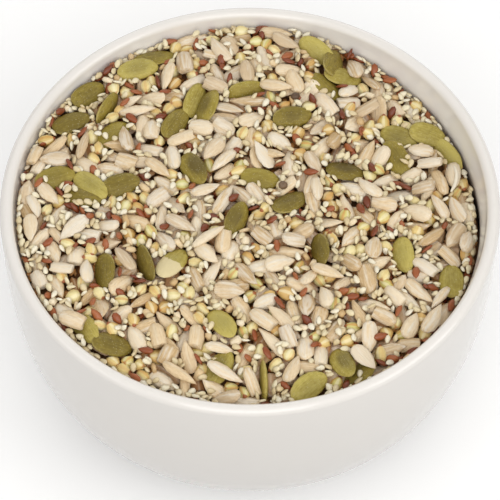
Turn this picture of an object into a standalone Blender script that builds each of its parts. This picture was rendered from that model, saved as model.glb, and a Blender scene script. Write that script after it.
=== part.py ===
# A deep round porcelain bowl filled almost to its lip with mixed edible seeds.
# Lengths are in metres, +Z is up, and the bowl's foot stands on z = 0.

import math
import random
from collections import namedtuple

import bmesh
import bpy
from mathutils import Euler, Matrix, Vector

TINY = 0.00001

# Bowl: the outer and inner sides are superellipse curves below a round lip.
HEIGHT = 0.0800
RIM_RADIUS = 0.0750
LIP_THICKNESS = 0.0040
LIP_RADIUS = LIP_THICKNESS / 2
OUTER_DEPTH = 0.0764
INNER_RADIUS = RIM_RADIUS - LIP_THICKNESS
INNER_DEPTH = 0.0710
ROUNDNESS_ACROSS = 4.26
ROUNDNESS_DOWN = 3.26
FOOT_RADIUS = 0.0400
FOOT_RING_WIDTH = 0.0050
FOOT_RECESS = 0.0022
FOOT_DRAFT = 0.0006
TURN_STEPS = 64
LIP_STEPS = 4
OUTER_STEPS = 8
INNER_STEPS = 8

# Heap: its surface leans down to the right (+X) and bulges a little in the middle.
CONTACT_GAP = 0.0003
HEAP_DEPTH = 0.0068
HEAP_TILT = 0.0040
HEAP_DOME = 0.0022
FAR_MOUND = (0.018, 0.060)
FAR_MOUND_HEIGHT = 0.0025
FAR_MOUND_RADIUS = 0.022
SEED_BED = 0.0016
RELIEF_HEIGHT = 0.0006
RELIEF_LENGTH = 0.0070
EDGE_DEPTH = 0.0080
CORE_TOP_RINGS = 8
CORE_SPACING = 0.0075
FEWEST_SPOKES = 4
SPOKE_SLACK = 0.001

# Seeds: how many of the loose kinds show, and how far the kinds stand proud of the bed.
Kind = namedtuple("Kind", "name size sides rings ridge blunt point count proud lean")
PUMPKIN = Kind("pumpkin", (0.0128, 0.0072, 0.0025), 6, 3, 0.0, 0.30, 0.10, 0, 0.0026, 0.0)
SUNFLOWER = Kind("sunflower", (0.0108, 0.0048, 0.0028), 5, 3, 0.0, 0.25, 0.35, 106, 0.0023, 0.4)
BUCKWHEAT = Kind("buckwheat", (0.0044, 0.0040, 0.0036), 6, 2, 0.18, 0.10, 0.30, 36, 0.0023, 1.5)
FLAX = Kind("flax", (0.0044, 0.0023, 0.0012), 4, 2, 0.0, 0.10, 0.35, 18, 0.0009, 0.4)
SESAME = Kind("sesame", (0.0030, 0.0018, 0.0011), 4, 2, 0.0, 0.10, 0.35, 22, 0.0009, 0.4)
SCATTER_SHARE = 0.97
LIP_CLEARANCE = 0.0006
PUMPKIN_PITCH = 10
CANDIDATES = 14
INWARD_STEP = 0.0005
INWARD_TRIES = 12
SIZE_SPREAD = 0.08
SPINE_SHARE = 0.33
RANDOM_SEED = 7

# Pumpkin seeds that show: x and y in millimetres, heading and lean in degrees.
PUMPKIN_PLACES = (
    (-35, 54, 15, 10), (-30, 59, 18, -25), (-51, 46, 41, 12), (-55, 34, 26, 8), (-44, 40, 62, 55),
    (-42, 30, 46, -15), (-23, 34, 60, 14), (-17, 43, 70, 45), (-13, 40, 74, -20), (-1, 47, 15, 60),
    (13, 36, 12, 15), (21, 62, -35, 35), (26, 57, 74, 20), (24, 48, -35, -10), (29, 52, 0, 12),
    (46, 29, -15, 25), (55, 29, -12, 10), (61, 22, -54, 60), (29, 16, -6, 5), (-17, 16, -60, 20),
    (3, 13, -6, 10), (12, 4, 38, -8), (-4, -2, 65, 12), (-23, -18, 56, 8), (21, -14, -78, 25),
    (-8, -40, -56, 10), (-59, 13, 18, 15), (-48, 10, -41, 30), (-50, 6, -12, -15), (-39, 10, 18, 12),
    (-43, -21, -86, 20), (-31, -18, -69, 50), (-48, -41, -56, 25), (-40, -47, -6, -12), (46, -15, -82, 20),
    (60, -25, 86, -20), (-9, -55, 56, 18), (4, -59, -87, 60), (17, -62, 41, 15), (27, -54, -67, 22),
    (32, -57, 41, -10), (45, 20, -65, 25),
)


def side_curve(rim_radius, reach, end_radius, steps):
    """(radius, depth) points down a bowl side, from the lip to end_radius."""
    last = math.acos((end_radius / rim_radius) ** (ROUNDNESS_ACROSS / 2))
    points = []
    for index in range(steps + 1):
        turn = last * index / steps
        radius = rim_radius * math.cos(turn) ** (2 / ROUNDNESS_ACROSS)
        depth = LIP_RADIUS + reach * math.sin(turn) ** (2 / ROUNDNESS_DOWN)
        points.append((radius, depth))
    return points


def new_collection(name):
    collection = bpy.data.collections.new(name)
    bpy.context.scene.collection.children.link(collection)
    return collection


def new_material(name, color, roughness):
    material = bpy.data.materials.new(name)
    material.use_nodes = True
    shader = material.node_tree.nodes["Principled BSDF"]
    shader.inputs["Base Color"].default_value = (*color, 1.0)
    shader.inputs["Roughness"].default_value = roughness
    shader.inputs["Metallic"].default_value = 0.0
    return material


def new_object(name, mesh, collection, material):
    thing = bpy.data.objects.new(name, mesh)
    collection.objects.link(thing)
    mesh.materials.append(material)
    return thing


def apply_modifiers(thing):
    """Replace the object's mesh with what its modifiers make of it."""
    depsgraph = bpy.context.evaluated_depsgraph_get()
    shaped = bpy.data.meshes.new_from_object(thing.evaluated_get(depsgraph))
    plain = thing.data
    thing.modifiers.clear()
    thing.data = shaped
    bpy.data.meshes.remove(plain)


def turn_profile(name, profile, collection, material):
    """Turn (radius, height) points about Z into a closed solid."""
    mesh = bpy.data.meshes.new(name)
    points = [(radius, 0.0, height) for radius, height in profile]
    edges = [(index, index + 1) for index in range(len(points) - 1)]
    mesh.from_pydata(points, edges, [])
    thing = new_object(name, mesh, collection, material)
    screw = thing.modifiers.new("Turn", 'SCREW')
    screw.axis = 'Z'
    screw.steps = TURN_STEPS
    screw.render_steps = TURN_STEPS
    screw.use_merge_vertices = True
    screw.merge_threshold = TINY
    apply_modifiers(thing)
    return thing


def bowl_profile():
    """Inside centre, up the inner side, over the lip, down the outer side, to the underside centre."""
    inner = side_curve(INNER_RADIUS, INNER_DEPTH, 0.0, INNER_STEPS)
    outer = side_curve(RIM_RADIUS, OUTER_DEPTH, FOOT_RADIUS, OUTER_STEPS)
    profile = [(radius, HEIGHT - depth) for radius, depth in reversed(inner)]
    lip_centre = RIM_RADIUS - LIP_RADIUS
    for index in range(1, LIP_STEPS):
        turn = math.pi - math.pi * index / LIP_STEPS
        across = lip_centre + LIP_RADIUS * math.cos(turn)
        profile.append((across, HEIGHT - LIP_RADIUS + LIP_RADIUS * math.sin(turn)))
    profile += [(radius, HEIGHT - depth) for radius, depth in outer]
    ring_inside = FOOT_RADIUS - FOOT_RING_WIDTH
    profile += [(FOOT_RADIUS - FOOT_DRAFT, 0.0), (ring_inside, 0.0)]
    profile += [(ring_inside - FOOT_DRAFT, FOOT_RECESS), (0.0, FOOT_RECESS)]
    return profile


def build_bowl(collection):
    porcelain = new_material("porcelain", (0.87, 0.84, 0.80), 0.18)
    bowl = turn_profile("bowl", bowl_profile(), collection, porcelain)
    bowl.data.shade_smooth()
    return bowl


def heap_height(x, y):
    """Mean height of the seeds' surface over the point (x, y)."""
    share = math.hypot(x, y) / INNER_RADIUS
    depth = HEAP_DEPTH + HEAP_TILT * x / INNER_RADIUS - HEAP_DOME * (1.0 - share * share)
    away = math.dist((x, y), FAR_MOUND) / FAR_MOUND_RADIUS
    return HEIGHT - depth + FAR_MOUND_HEIGHT * math.exp(-away * away)


def core_side():
    """(radius, depth) points of the heap's side: the bowl's inner side moved in by the gap."""
    inner = side_curve(INNER_RADIUS, INNER_DEPTH, 0.0, INNER_STEPS)
    side = [(inner[0][0] - CONTACT_GAP, inner[0][1])]
    for before, point, after in zip(inner, inner[1:], inner[2:]):
        slope = math.atan2(before[0] - after[0], after[1] - before[1])
        side.append((point[0] - CONTACT_GAP * math.cos(slope), point[1] - CONTACT_GAP * math.sin(slope)))
    side.append((0.0, inner[-1][1] - CONTACT_GAP))
    return side


def core_radius(height):
    """Radius of the heap's side between the lip and the shoulder."""
    (top_radius, top_depth), (low_radius, low_depth) = core_side()[:2]
    share = (HEIGHT - height - top_depth) / (low_depth - top_depth)
    return top_radius + (low_radius - top_radius) * max(share, 0.0)


def core_profile():
    """Top centre, out over the surface to the edge, then down the side to the bottom centre."""
    edge_height = HEIGHT - EDGE_DEPTH
    edge_radius = core_radius(edge_height)
    profile = [(edge_radius * index / CORE_TOP_RINGS, edge_height) for index in range(CORE_TOP_RINGS + 1)]
    profile += [(radius, HEIGHT - depth) for radius, depth in core_side()[1:]]
    return profile


def relief(x, y):
    """Small unevenness of the bed between the larger seeds."""
    across = 2 * math.pi * x / RELIEF_LENGTH
    away = 2 * math.pi * y / RELIEF_LENGTH
    return RELIEF_HEIGHT * math.sin(across + math.sin(away / 2)) * math.cos(away + math.sin(across / 2))


def thin_out(place, radius):
    """Move a surface point back to the last spoke that keeps the spacing on its ring."""
    spokes = TURN_STEPS
    while spokes > FEWEST_SPOKES and 2 * math.pi * radius / spokes < CORE_SPACING:
        spokes //= 2
    spoke = 2 * math.pi / spokes
    angle = math.floor(math.atan2(place.y, place.x) / spoke + SPOKE_SLACK) * spoke
    place.x = radius * math.cos(angle)
    place.y = radius * math.sin(angle)


def build_core(collection, material):
    """The heap's body, shaped from a turned blank so that its top follows the seeds' surface."""
    core = turn_profile("seed_mix", core_profile(), collection, material)
    edge_height = HEIGHT - EDGE_DEPTH
    edge_radius = core_radius(edge_height)
    form = bmesh.new()
    form.from_mesh(core.data)
    for vertex in form.verts:
        place = vertex.co
        radius = math.hypot(place.x, place.y)
        if place.z < edge_height - TINY:
            continue
        if radius < edge_radius - TINY:
            thin_out(place, radius)
            place.z = heap_height(place.x, place.y) - SEED_BED + relief(place.x, place.y)
        else:
            place.z = heap_height(place.x, place.y) - SEED_BED
            place.xy *= core_radius(place.z) / radius
    bmesh.ops.remove_doubles(form, verts=form.verts, dist=TINY)
    form.to_mesh(core.data)
    form.free()
    return core


def seed_form(kind, size):
    """A closed seed along X, fattened at its blunt -X end and narrowed at its +X point.

    A ridged kind has every other corner drawn in, which makes it a rounded three-sided pyramid."""
    form = bmesh.new()
    bmesh.ops.create_uvsphere(form, u_segments=kind.sides, v_segments=kind.rings + 1, radius=0.5)
    bmesh.ops.rotate(form, verts=form.verts, matrix=Matrix.Rotation(math.pi / 2, 3, 'Y'))
    bmesh.ops.scale(form, verts=form.verts, vec=Vector(size))
    for vertex in form.verts:
        along = 2.0 * vertex.co.x / size[0]
        turn = math.atan2(vertex.co.z, vertex.co.y)
        ridge = 1.0 - kind.ridge + kind.ridge * math.cos(3.0 * turn)
        change = ridge * (1.0 - along * (kind.point if along > 0.0 else kind.blunt))
        vertex.co.yz *= change
    return form


def fits_in_bowl(points):
    """True where every point keeps clear of the bowl's inner side."""
    facet = INNER_RADIUS * (1.0 - math.cos(math.pi / TURN_STEPS))
    for point in points:
        if math.hypot(point.x, point.y) > core_radius(point.z) - facet:
            return False
    return True


def lay_seed(form, x, y, turn, proud, name, collection, material):
    """Sink a seed into the bed until its top stands proud of it by that much.

    The seed is moved towards the axis until it clears the bowl; None where it can't."""
    pose = Euler(turn, 'ZYX').to_matrix()
    corners = [pose @ vertex.co for vertex in form.verts]
    top = max(corner.z for corner in corners)
    for _ in range(INWARD_TRIES):
        height = min(heap_height(x, y) - SEED_BED + proud, HEIGHT - LIP_CLEARANCE)
        place = Vector((x, y, height - top))
        if fits_in_bowl([corner + place for corner in corners]):
            break
        shrink = 1.0 - INWARD_STEP / math.hypot(x, y)
        x *= shrink
        y *= shrink
    else:
        return None
    mesh = bpy.data.meshes.new(name)
    bmesh.ops.recalc_face_normals(form, faces=form.faces)
    form.to_mesh(mesh)
    seed = new_object(name, mesh, collection, material)
    seed.location = place
    seed.rotation_mode = 'ZYX'
    seed.rotation_euler = turn
    return seed


def spine(x, y, heading, length):
    """Three points along a seed, for telling how near another one lies."""
    reach = SPINE_SHARE * length
    aim = (math.cos(heading), math.sin(heading))
    return [(x + step * reach * aim[0], y + step * reach * aim[1]) for step in (-1, 0, 1)]


def take_room(seed, kind, heading, taken):
    """Note where a laid seed lies, if it was laid at all."""
    if seed:
        points = spine(seed.location.x, seed.location.y, heading, kind.size[0])
        taken += [(point, kind.size[1] / 2) for point in points]


def clearance(points, taken):
    """Least distance from a seed's spine to the spines laid so far, less their half widths."""
    return min((math.dist(point, other) - half for point in points for other, half in taken), default=1.0)


def lay_pumpkin_seeds(collection, material, draw, taken):
    """Lay the pumpkin seeds in their own places."""
    for index, (x, y, heading, lean) in enumerate(PUMPKIN_PLACES):
        pitch = draw.uniform(-PUMPKIN_PITCH, PUMPKIN_PITCH)
        turn = (math.radians(lean), math.radians(pitch), math.radians(heading))
        form = seed_form(PUMPKIN, PUMPKIN.size)
        name = "pumpkin_%d" % index
        seed = lay_seed(form, x / 1000, y / 1000, turn, PUMPKIN.proud, name, collection, material)
        form.free()
        take_room(seed, PUMPKIN, turn[2], taken)


def open_place(kind, draw, taken):
    """The most open of several random places for a seed: its x, y and heading."""
    best = None
    for _ in range(CANDIDATES):
        radius = INNER_RADIUS * math.sqrt(draw.random()) * SCATTER_SHARE
        angle = draw.uniform(0, 2 * math.pi)
        heading = draw.uniform(0, 2 * math.pi)
        x = radius * math.cos(angle)
        y = radius * math.sin(angle)
        room = clearance(spine(x, y, heading, kind.size[0]), taken)
        if best is None or room > best[0]:
            best = (room, x, y, heading)
    return best[1:]


def scatter(kind, collection, material, draw, taken):
    """Lay the seeds of one kind, spread evenly between those that are there."""
    for index in range(kind.count):
        x, y, heading = open_place(kind, draw, taken)
        turn = (draw.uniform(-kind.lean, kind.lean), draw.uniform(-kind.lean, kind.lean) / 2, heading)
        size = [length * (1.0 + draw.uniform(-SIZE_SPREAD, SIZE_SPREAD)) for length in kind.size]
        form = seed_form(kind, size)
        name = "%s_%d" % (kind.name, index)
        seed = lay_seed(form, x, y, turn, kind.proud, name, collection, material)
        form.free()
        take_room(seed, kind, heading, taken)


def keep_largest_piece(thing):
    """Drop every loose scrap and every sealed hollow from the fused solid."""
    form = bmesh.new()
    form.from_mesh(thing.data)
    form.verts.ensure_lookup_table()
    seen = set()
    pieces = []
    for start in form.verts:
        if start in seen:
            continue
        seen.add(start)
        piece = [start]
        for vertex in piece:
            for edge in vertex.link_edges:
                other = edge.other_vert(vertex)
                if other not in seen:
                    seen.add(other)
                    piece.append(other)
        pieces.append(piece)
    pieces.sort(key=len)
    for piece in pieces[:-1]:
        bmesh.ops.delete(form, geom=piece, context='VERTS')
    bmesh.ops.triangulate(form, faces=form.faces)
    form.to_mesh(thing.data)
    form.free()


def build_seed_mix(collection, helpers):
    tan = new_material("mixed_seeds", (0.56, 0.40, 0.22), 0.6)
    core = build_core(collection, tan)
    draw = random.Random(RANDOM_SEED)
    taken = []
    lay_pumpkin_seeds(helpers, tan, draw, taken)
    for kind in (SUNFLOWER, BUCKWHEAT, FLAX, SESAME):
        scatter(kind, helpers, tan, draw, taken)
    fuse = core.modifiers.new("Fuse", 'BOOLEAN')
    fuse.operation = 'UNION'
    fuse.operand_type = 'COLLECTION'
    fuse.collection = helpers
    fuse.solver = 'EXACT'
    apply_modifiers(core)
    for seed in list(helpers.objects):
        mesh = seed.data
        bpy.data.objects.remove(seed)
        bpy.data.meshes.remove(mesh)
    keep_largest_piece(core)
    core.data.shade_flat()
    return core


def clear_scene():
    for thing in list(bpy.data.objects):
        bpy.data.objects.remove(thing, do_unlink=True)


def main():
    clear_scene()
    collection = new_collection("bowl_of_seed_mix")
    helpers = new_collection("loose_seeds")
    helpers.hide_render = True
    build_bowl(collection)
    build_seed_mix(collection, helpers)


main()
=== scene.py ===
# A deep round porcelain bowl filled almost to its lip with loose sunflower kernels, pumpkin seeds,
# buckwheat, sesame and flax. Lengths are in metres and +Z is up, as in the frame.
import math
import random
from collections import namedtuple

import bmesh
import bpy
import numpy as np
from mathutils import Euler, Matrix, Vector


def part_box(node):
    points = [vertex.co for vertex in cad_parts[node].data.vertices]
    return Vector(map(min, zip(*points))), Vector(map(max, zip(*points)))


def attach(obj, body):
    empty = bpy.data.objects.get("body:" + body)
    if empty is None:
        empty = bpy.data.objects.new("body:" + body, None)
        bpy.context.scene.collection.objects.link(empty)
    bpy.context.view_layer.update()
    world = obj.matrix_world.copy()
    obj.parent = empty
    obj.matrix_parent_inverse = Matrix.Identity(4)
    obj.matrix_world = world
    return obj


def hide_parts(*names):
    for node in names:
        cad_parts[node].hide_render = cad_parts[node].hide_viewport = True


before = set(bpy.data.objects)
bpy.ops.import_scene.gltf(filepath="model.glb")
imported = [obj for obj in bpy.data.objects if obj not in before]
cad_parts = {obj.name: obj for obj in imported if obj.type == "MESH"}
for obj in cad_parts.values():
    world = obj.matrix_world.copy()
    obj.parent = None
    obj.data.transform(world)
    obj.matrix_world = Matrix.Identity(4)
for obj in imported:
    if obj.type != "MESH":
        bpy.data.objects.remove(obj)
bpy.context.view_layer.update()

bl_info = {
    "name": "Bowl of seed mix",
    "version": (1, 0, 0),
    "blender": (4, 5, 0),
    "location": "View3D > Sidebar > Seed mix",
    "description": "Dresses the bowl of seed mix: glazed bowl, loose seeds, floor, lights and camera",
    "category": "Object",
}

BOWL_TOP_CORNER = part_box("bowl")[1]
RIM_RADIUS = BOWL_TOP_CORNER[0]
HEIGHT = BOWL_TOP_CORNER[2]
SAME_PLACE = 0.00001
RING_TOLERANCE = 0.001

# Bowl: two superellipse sides below a round lip, as in the solid. Each edge of the foot ring is given as
# steps in from it, with the height of each.
ROUNDNESS_ACROSS = 4.26
ROUNDNESS_DOWN = 3.26
OUTER_DEPTH = 0.0764
INNER_DEPTH = 0.0710
LIP_WALL = 0.0040
INNER_RADIUS = RIM_RADIUS - LIP_WALL
FOOT_RADIUS = 0.0400
FOOT_RING_WIDTH = 0.0050
FOOT_RECESS = 0.0022
FOOT_OUTER_EDGE = ((0.0002, 0.0010), (0.0006, 0.0003), (0.0012, 0.0))
FOOT_INNER_EDGE = ((-0.0006, 0.0), (0.0, 0.0003), (0.0004, 0.0010), (0.0016, FOOT_RECESS))
TURN_STEPS = 128
SIDE_STEPS = 24
LIP_STEPS = 12

# The inner wall swells in a little, most at SWELL_DEPTH below the lip and not at all from SWELL_END down.
WALL_SWELL = 0.0015
SWELL_DEPTH = 0.0100
SWELL_END = 0.0260
SWELL_STEP = 0.0015

# Core: the depth of its edge, and the share of the loose seeds' depth that is lost beside the wall.
CORE_EDGE_DEPTH = 0.0150
CORE_RINGS = 24
CORE_SIDE_STEPS = 48
BED_THINNING = 0.4
BED_THINNING_POWER = 6

# Mound of seeds at the far side.
FAR_MOUND = (0.010, 0.062)
FAR_MOUND_HEIGHT = 0.0040
FAR_MOUND_RADIUS = 0.028

# Seeds: real length, width and thickness.
PUMPKIN_SIZE = (0.0128, 0.0072, 0.0024)
SUNFLOWER_SIZE = (0.0106, 0.0051, 0.0032)
BUCKWHEAT_SIZE = (0.0052, 0.0050, 0.0046)
FLAX_SIZE = (0.0047, 0.0025, 0.0013)
SESAME_SIZE = (0.0030, 0.0020, 0.0010)
CRUMB_SIZE = (0.0034, 0.0026, 0.0020)
DARK_SEED_SIZE = (0.0030, 0.0028, 0.0022)
HUSK_SIZE = (0.0085, 0.0013, 0.0005)

# Grid of heights under the seeds, and the start of all random draws.
CELL = 0.00025
GRID_REACH = 0.0720
RANDOM_SEED = 11

# How seeds lie: gaps to the wall and to the lip's level, the most that one rises over half its length, and
# the share of the ground under a poured or a placed one that may reach into it.
CONTACT_GAP = 0.0003
LIP_CLEARANCE = 0.0004
STEEPEST = 0.0036
SINK = 0.14
PLACED_SINK = 0.10

# A placed seed is pressed down as far as it needs. Pumpkin seeds may stand this far over the mean surface,
# and this many cells in front of the veiled one are kept free.
PRESS_ANY = 0.02
PUMPKIN_PROUD = 0.0014
FRONT_CELLS = 6

# Leans about a seed's length, in radians: the spread of a flat one, and the range of one on its edge.
FLAT_LEAN = 0.20
EDGE_LEAN = (0.7, 1.5)

# Where a seed is laid: how it turns beside the wall, how far from the wall it starts in halves of its width,
# and the small steps inwards of one that has its own place but no room there.
NEAR_WALL_TURN = 0.25
AT_WALL_TURN = 0.10
WALL_DISTANCE = (1.15, 1.45)
NUDGES = 20
NUDGE = 0.985

# Lower layers: how many, the level of the first over the mean surface, and the rise from one to the next.
LAYERS = 4
FIRST_LAYER = -0.0036
LAYER_RISE = 0.0008

# Shares of a seed's bend: where its arch crosses its middle, and how far its tip hooks.
ARCH_MIDDLE = 0.4
HOOK = 1.6

# Stamps are shared by outlines alike to this many steps in a metre and this many degrees of turn. They leave
# out the outermost edge.
STAMP_SCALE = 5000
STAMP_TURN = 6
STAMP_EDGE = 0.97

# A seed gets painted shade once its top is this far under the mean surface, fully so a reach further down.
SHADE_START = -0.0008
SHADE_REACH = 0.0018
FULL_SHADE = 0.92

# Stage: the camera's sensor in millimetres, the floor, the world's light on the bowl (the camera sees plain
# white behind it), and the soft lamps, with name, place, size and power, aimed at the middle of the lip.
SENSOR_WIDTH = 36.0
NEAREST_SEEN = 0.01
FLOOR_SIZE = 2.2
FLOOR_GLOW = 0.08
WORLD_STRENGTH = 0.60
LAMPS = (
    ("front_light", (0.0, -1.0, 0.85), 0.90, 5.0),
    ("top_light", (0.0, -0.60, 1.15), 0.90, 1.6),
    ("left_light", (-0.95, -0.45, 0.70), 0.80, 2.0),
    ("right_light", (0.95, -0.45, 0.75), 0.80, 4.2),
    ("back_light", (0.0, 1.10, 0.55), 0.90, 2.4),
)

# Pumpkin seeds that show: x and y in millimetres, heading and lean in degrees, then 1 where others may
# cover it or 2 where a torn pale skin hides one end.
PUMPKIN_PLACES = (
    (-35, 54, 15, 10, 0), (-30, 59, 18, -25, 1), (-51, 46, 41, 12, 0), (-55, 34, 26, 8, 0),
    (-44, 40, 62, 55, 0), (-42, 30, 46, -15, 1), (-23, 34, 60, 14, 0), (-17, 43, 70, 45, 0),
    (-13, 40, 74, -20, 1), (-1, 47, 15, 60, 0), (13, 36, 12, 15, 0), (21, 62, -35, 35, 0),
    (26, 57, 74, 20, 0), (24, 48, -35, -10, 1), (29, 52, 0, 12, 1), (46, 29, -15, 25, 0),
    (55, 29, -12, 10, 0), (61, 22, -54, 60, 0), (29, 16, -6, 5, 0), (-17, 16, -60, 20, 0),
    (3, 13, -6, 10, 0), (12, 4, 38, -8, 0), (-4, -2, 65, 12, 0), (-23, -18, 56, 8, 2),
    (21, -14, -78, 25, 0), (-8, -40, -56, 10, 0), (-59, 13, 18, 15, 1), (-48, 10, -41, 30, 0),
    (-50, 6, -12, -15, 1), (-39, 10, 18, 12, 0), (-43, -21, -86, 20, 0), (-31, -18, -69, 50, 0),
    (-48, -41, -56, 25, 1), (-40, -47, -6, -12, 0), (46, -15, -82, 20, 0), (60, -25, 86, -20, 1),
    (-9, -55, 56, 18, 1), (4, -59, -87, 60, 0), (17, -62, 41, 15, 0), (27, -54, -67, 22, 0),
    (32, -57, 41, -10, 1), (45, 20, -65, 25, 1),
)

COVERED = 1
VEILED = 2

# The number that tells the material that a seed is veiled; for the others it stays under 1.
VEILED_MARK = 1.6

# Other things that lie in the open, a curled sliver of hull and two small dark round seeds: kind, x and y in
# millimetres, heading and lean in degrees, and how far it may stand over the mean surface.
OPEN_PLACES = (
    ("husk", 62.4, 10.3, 79, 20, 0.0036),
    ("dark", 10, 9, 20, 0, 0.0020),
    ("dark", 14, 43, 20, 0, 0.0020),
)

# The places above are read on a level this far below the lip, seen from this height over it.
READ_DEPTH = 0.0065
VIEW_ELEVATION = math.radians(54.37)

# What is known of a seed: how it rests on the grid, how it is laid, and the sockets of its own coordinates.
Rest = namedtuple("Rest", "height rise roll covered rows columns")
Pose = namedtuple("Pose", "over rest stamp half_height middle turn grown")
Own = namedtuple("Own", "along across up out tone mark")


def length_of(name, description, default):
    return bpy.props.FloatProperty(name=name, description=description, default=default, unit='LENGTH')


def share_of(name, description, default):
    return bpy.props.FloatProperty(name=name, description=description, default=default, subtype='FACTOR')


def angle_of(name, description, default):
    return bpy.props.FloatProperty(name=name, description=description, default=default, subtype='ANGLE')


def colour_of(name, default):
    return bpy.props.FloatVectorProperty(
        name=name, description=f"Colour of the {name.lower()}", default=default, size=3, subtype='COLOR')


def seeds_tried(name, description, default):
    return bpy.props.IntProperty(name=name, description=description, default=default)


class BowlSettings(bpy.types.PropertyGroup):
    """Sizes and colour of the porcelain bowl."""

    lip: length_of("Lip", "Thickness of the round lip", LIP_WALL)
    glaze: colour_of("Glaze", (0.80, 0.765, 0.72))
    gloss: share_of("Roughness", "Roughness of the glaze", 0.16)


class MixSettings(bpy.types.PropertyGroup):
    """How the bowl is filled."""

    depth: length_of("Depth", "Mean depth of the seeds below the lip", 0.0068)
    tilt: length_of("Tilt", "How far the heap drops from the middle to the right", 0.0040)
    dome: length_of("Dome", "How far the middle stands above the edge", 0.0022)
    bed: length_of("Bed", "Depth of loose seeds over the core", 0.0060)
    filling: seeds_tried("Filling", "Kernels tried for the lower layers", 900)
    kernels: seeds_tried("Kernels", "Sunflower kernels tried for the top layer", 290)
    groats: seeds_tried("Buckwheat", "Buckwheat groats tried for the top layer", 500)
    flax: seeds_tried("Flax", "Flax seeds tried for the top layer", 270)
    crumbs: seeds_tried("Crumbs", "Broken bits of kernel tried for the top layer", 170)
    sesame: seeds_tried("Sesame", "Sesame seeds tried for the top layer", 2200)


class StageSettings(bpy.types.PropertyGroup):
    """Camera, lights and floor."""

    distance: length_of("Camera distance", "From the camera to the middle of the lip", 0.80)
    elevation: angle_of("Camera elevation", "Height of the camera over the lip", VIEW_ELEVATION)
    dip: angle_of("Camera dip", "How far the view is aimed below the lip's middle", math.radians(1.104))
    lens: bpy.props.FloatProperty(
        name="Lens", description="Focal length in millimetres on a 36 mm sensor", default=192.4)
    floor: colour_of("Floor", (0.96, 0.96, 0.96))
    bounce: share_of("Bounce", "Share of the light that the floor throws back on the bowl", 0.28)


# Mesh tools

def deselect_all():
    if bpy.context.object and bpy.context.object.mode != 'OBJECT':
        bpy.ops.object.mode_set(mode='OBJECT')
    bpy.ops.object.select_all(action='DESELECT')


def take_up(piece):
    """Make one object the only selected and the active one."""
    deselect_all()
    piece.select_set(True)
    bpy.context.view_layer.objects.active = piece


def select_where(piece, test):
    """In edit mode, select only the vertices whose place passes the test."""
    form = bmesh.from_edit_mesh(piece.data)
    for vertex in form.verts:
        vertex.select_set(False)
    form.select_flush(False)
    for vertex in form.verts:
        if test(vertex.co):
            vertex.select_set(True)
    form.select_flush(True)
    bmesh.update_edit_mesh(piece.data)


def squeeze(piece, test, scale):
    """Resize, about the origin, only those points of a piece that pass the test."""
    take_up(piece)
    bpy.ops.object.mode_set(mode='EDIT')
    select_where(piece, test)
    bpy.ops.transform.resize(value=scale, center_override=(0, 0, 0))
    bpy.ops.object.mode_set(mode='OBJECT')


def extrude_by(x, y, z):
    bpy.ops.mesh.extrude_region_move(TRANSFORM_OT_translate={"value": (x, y, z)})


def turn_profile(name, profile):
    """Draw a profile by extruding one point, then spin it about Z into a closed, smooth solid."""
    deselect_all()
    radius, height = profile[0]
    bpy.ops.mesh.primitive_plane_add(size=0.001, location=(0, 0, 0))
    piece = bpy.context.object
    piece.name = name
    piece.data.name = name
    bpy.ops.object.mode_set(mode='EDIT')
    bpy.ops.mesh.merge(type='CENTER')
    bpy.ops.transform.translate(value=(radius, 0, height))
    for (before_x, before_z), (after_x, after_z) in zip(profile, profile[1:]):
        extrude_by(after_x - before_x, 0, after_z - before_z)
    bpy.ops.mesh.select_all(action='SELECT')
    bpy.ops.mesh.spin(steps=TURN_STEPS, angle=2 * math.pi, center=(0, 0, 0), axis=(0, 0, 1))
    bpy.ops.mesh.select_all(action='SELECT')
    bpy.ops.mesh.remove_doubles(threshold=SAME_PLACE)
    bpy.ops.mesh.normals_make_consistent(inside=False)
    bpy.ops.object.mode_set(mode='OBJECT')
    bpy.ops.object.shade_smooth()
    return piece


def side_curve(rim_radius, reach, end_radius, steps, lip_radius):
    """(radius, depth) points down a bowl side, from the lip to end_radius."""
    last = math.acos((end_radius / rim_radius) ** (ROUNDNESS_ACROSS / 2))
    points = []
    for index in range(steps + 1):
        turn = last * index / steps
        radius = rim_radius * math.cos(turn) ** (2 / ROUNDNESS_ACROSS)
        depth = lip_radius + reach * math.sin(turn) ** (2 / ROUNDNESS_DOWN)
        points.append((radius, depth))
    return points


def swell(depth):
    """How far the wall swells inwards at a depth below the lip; it thins again under the seeds."""
    start = LIP_WALL / 2
    from_lip = (depth - start) / (SWELL_DEPTH - start)
    from_end = (SWELL_END - depth) / (SWELL_END - SWELL_DEPTH)
    share = np.clip(np.minimum(from_lip, from_end), 0, 1)
    return WALL_SWELL * share * share * (3 - 2 * share)


def wall_radius(depth):
    """Radius of the inner wall at a depth below the lip."""
    down = np.maximum(depth - LIP_WALL / 2, 0) / INNER_DEPTH
    return INNER_RADIUS * (1 - down ** ROUNDNESS_DOWN) ** (1 / ROUNDNESS_ACROSS) - swell(depth)


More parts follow.
